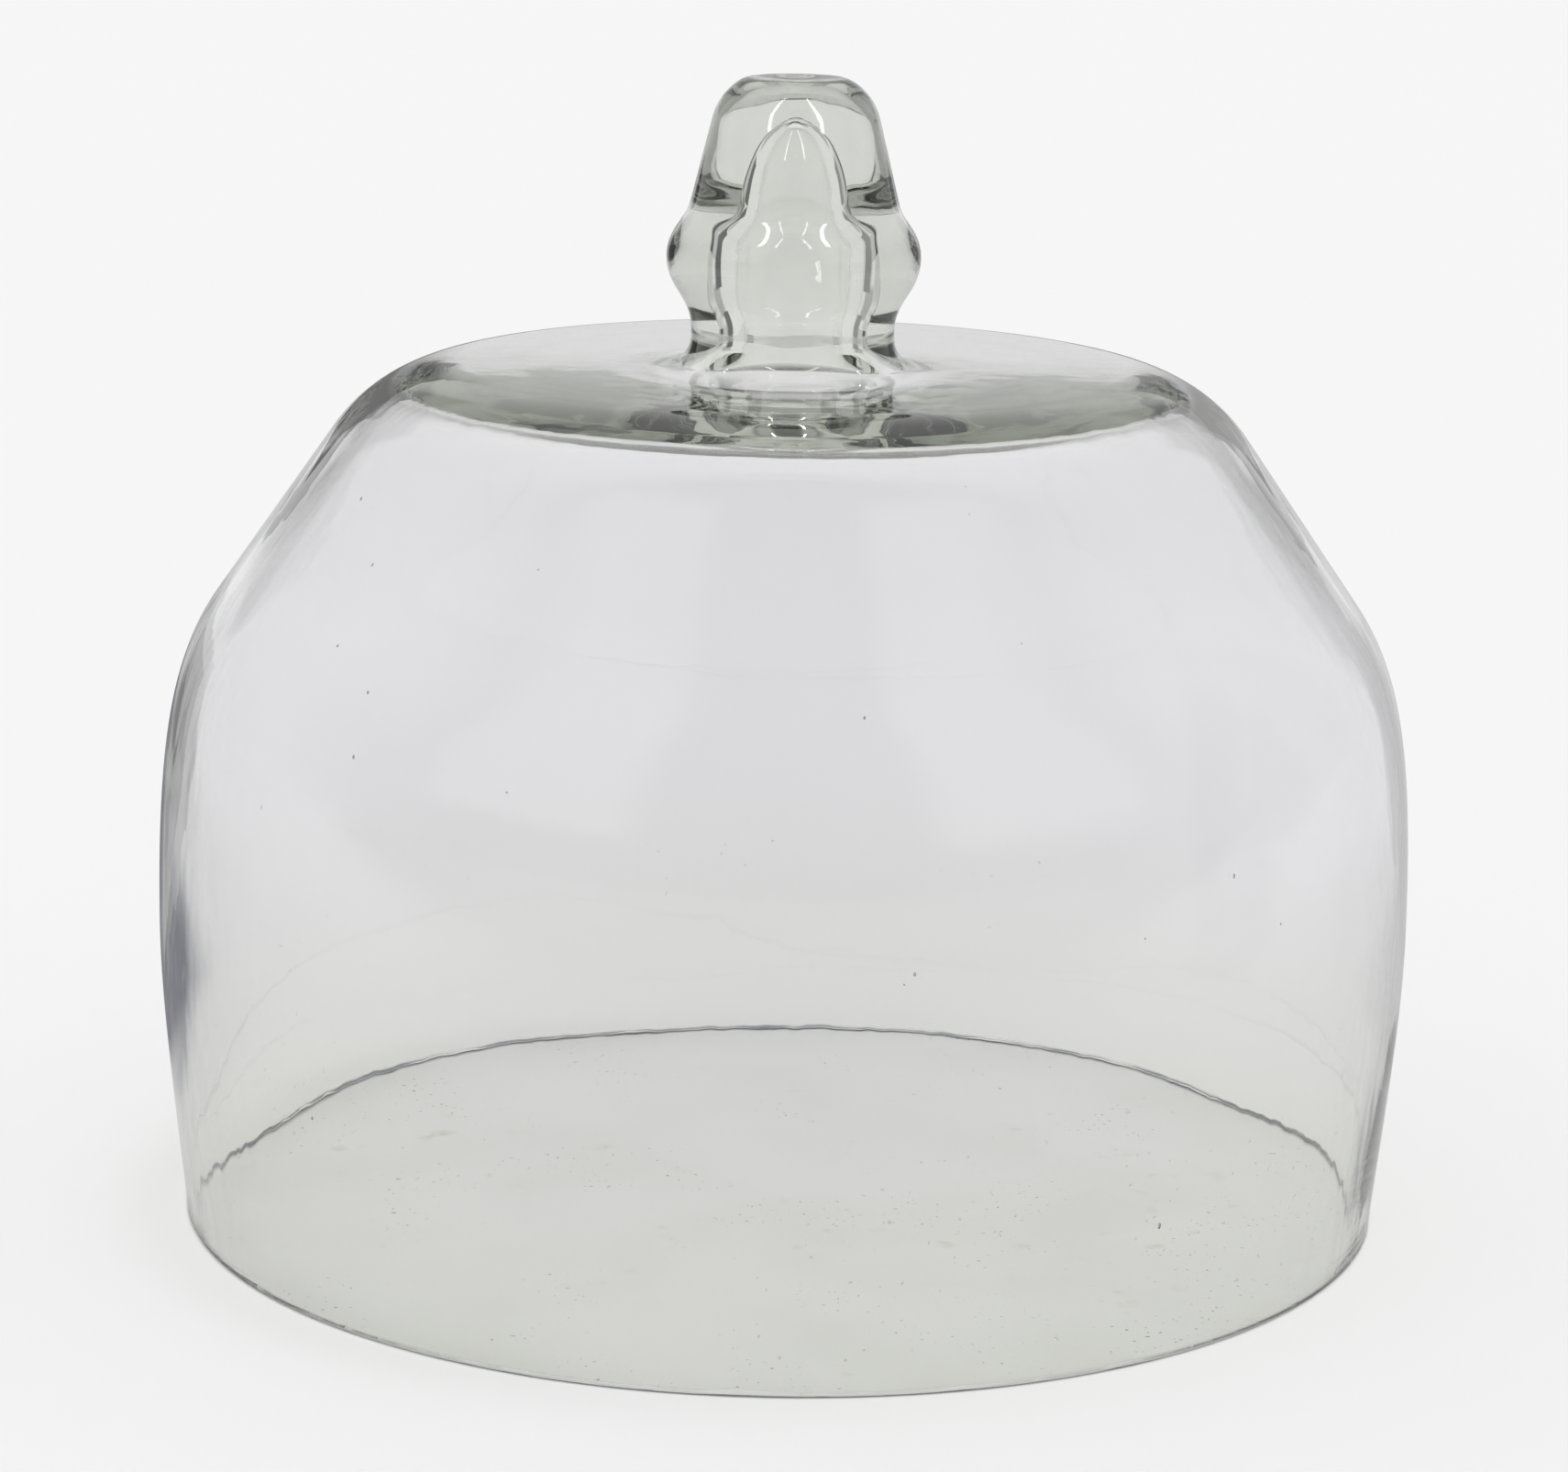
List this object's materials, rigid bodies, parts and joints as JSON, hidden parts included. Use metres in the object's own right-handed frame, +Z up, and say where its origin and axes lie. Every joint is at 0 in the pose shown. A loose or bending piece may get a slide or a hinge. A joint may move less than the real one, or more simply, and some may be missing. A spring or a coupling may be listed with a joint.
{
  "type": "glass dome",
  "caption": "Clear blown glass dome cover with a straight belly, sloped shoulder, flat crown and hollow knob, set down over food on a plate or board.",
  "frame": {"origin": "centre of the ground rim, on the surface that the dome stands on", "axes": "+Z up along the dome's axis, from the rim to the knob; +X and +Y are free because the dome is round"},
  "size_m": [0.26, 0.26, 0.2354],
  "materials": {
    "bell_glass": "clear blown soda glass, fire polished, with a faint grey-green cast where it is thick",
    "knob_glass": "clear soda glass, thick walled round a hollow, fire polished"
  },
  "bodies": {
    "root": {"bell": "bell_glass", "knob": "knob_glass"}
  },
  "joints": []
}
